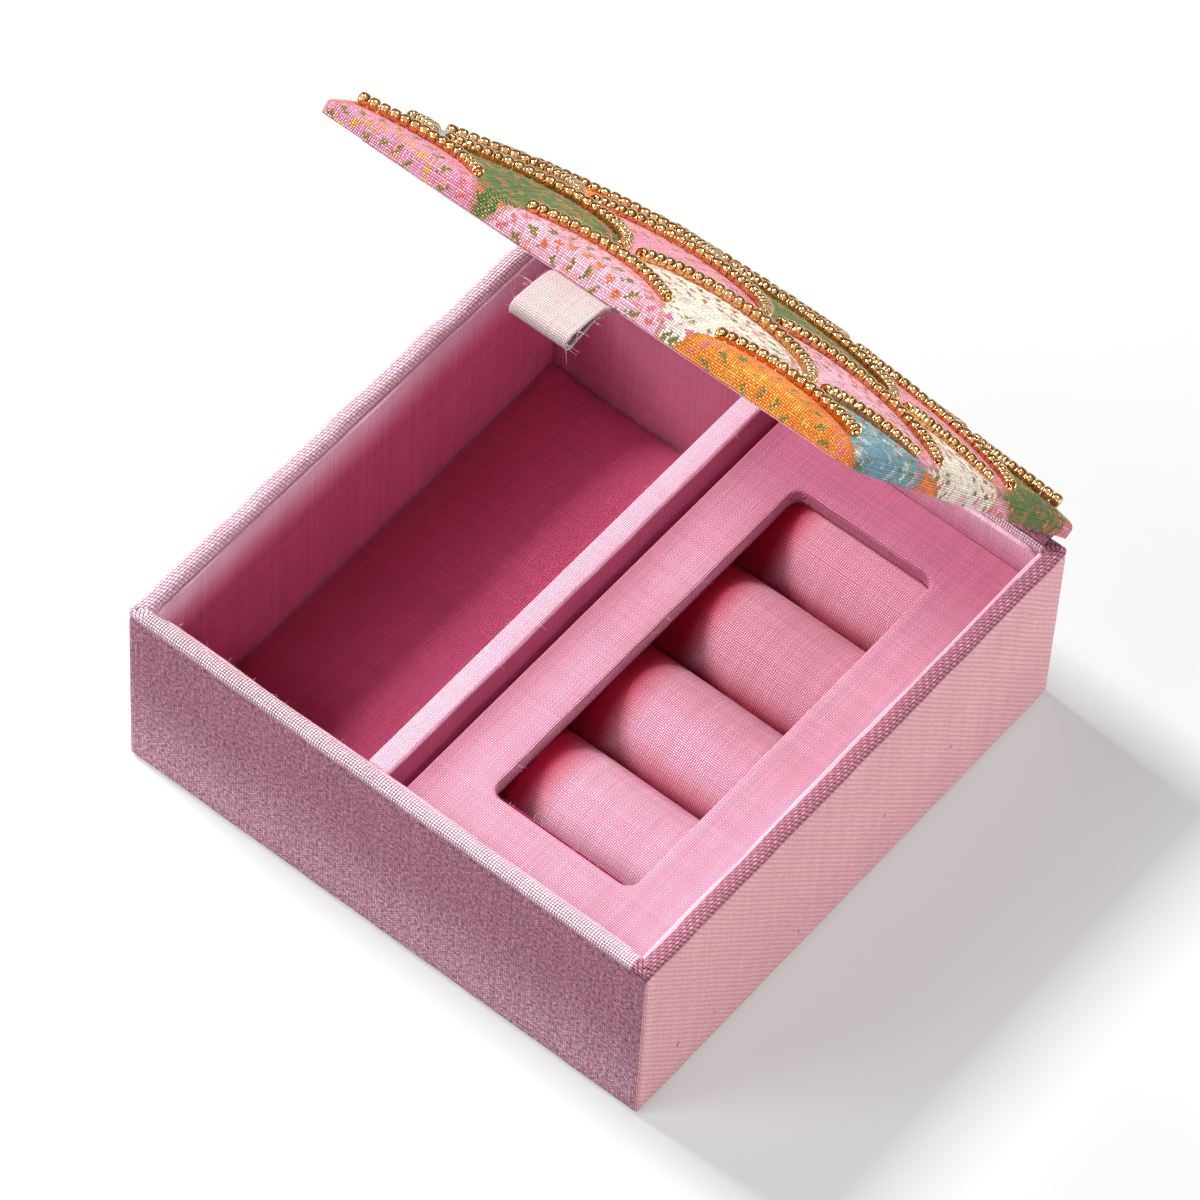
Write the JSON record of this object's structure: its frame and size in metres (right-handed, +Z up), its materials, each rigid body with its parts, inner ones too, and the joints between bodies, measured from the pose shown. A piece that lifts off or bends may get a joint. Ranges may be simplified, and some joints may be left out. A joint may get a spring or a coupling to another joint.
{
  "type": "jewelry box",
  "caption": "Square cloth-covered jewelry box with a hinged padded lid beaded in scallops, an open compartment, a divider and a ring tray with soft rolls.",
  "frame": {"origin": "middle of the underside, on the surface that the box stands on", "axes": "+X to the right along the front edge, +Y to the hinged back edge, +Z up"},
  "size_m": [0.1306, 0.137, 0.1579],
  "materials": {
    "outer_linen": "pale pink slubby linen, coarse plain weave",
    "pink_lining": "fine saturated pink plain weave",
    "printed_cloth": "coarse printed weave in green, pink, pale blue, cream and orange",
    "ribbon": "pale pink woven ribbon with frayed edges",
    "bottom_cloth": "plain pink cloth",
    "foam": "soft foam and batting",
    "greyboard": "uncoated fibre board",
    "gold_bead": "bright gold-plated seed beads"
  },
  "bodies": {
    "base": {"bottom_cover": "bottom_cloth", "bottom_board": "greyboard", "front_wall_board": "greyboard", "back_wall_board": "greyboard", "left_wall_board": "greyboard", "right_wall_board": "greyboard", "outer_wrap": "outer_linen", "front_liner": "pink_lining", "back_liner": "pink_lining", "left_liner": "pink_lining", "right_liner": "pink_lining", "floor_card": "greyboard", "floor_pad": "pink_lining", "divider_board": "greyboard", "divider_cover": "pink_lining", "ring_bed": "foam", "tray_rail_left": "greyboard", "tray_rail_right": "greyboard", "tray_front_rail": "greyboard", "tray_frame_board": "greyboard", "tray_frame_cover": "pink_lining", "ring_roll_core_1": "foam", "ring_roll_core_2": "foam", "ring_roll_core_3": "foam", "ring_roll_core_4": "foam", "ring_roll_cover_1": "pink_lining", "ring_roll_cover_2": "pink_lining", "ring_roll_cover_3": "pink_lining", "ring_roll_cover_4": "pink_lining", "hinge_fold": "outer_linen"},
    "lid": {"lid_board": "greyboard", "lid_pad": "foam", "lid_cover": "printed_cloth", "lid_lining_card": "greyboard", "lid_lining_cloth": "pink_lining", "hinge_flap": "outer_linen", "pull_tab": "ribbon", "bead_row_1": "gold_bead", "bead_row_2": "gold_bead", "bead_row_3": "gold_bead", "bead_row_4": "gold_bead", "bead_row_5": "gold_bead", "bead_row_6": "gold_bead"}
  },
  "joints": [
    {"name": "lid_hinge", "type": "hinge", "parent": "base", "child": "lid", "pos_m": [0, 0.0661, 0.05], "axis": [-1, 0, 0], "range_deg": [-53, 52]}
  ]
}
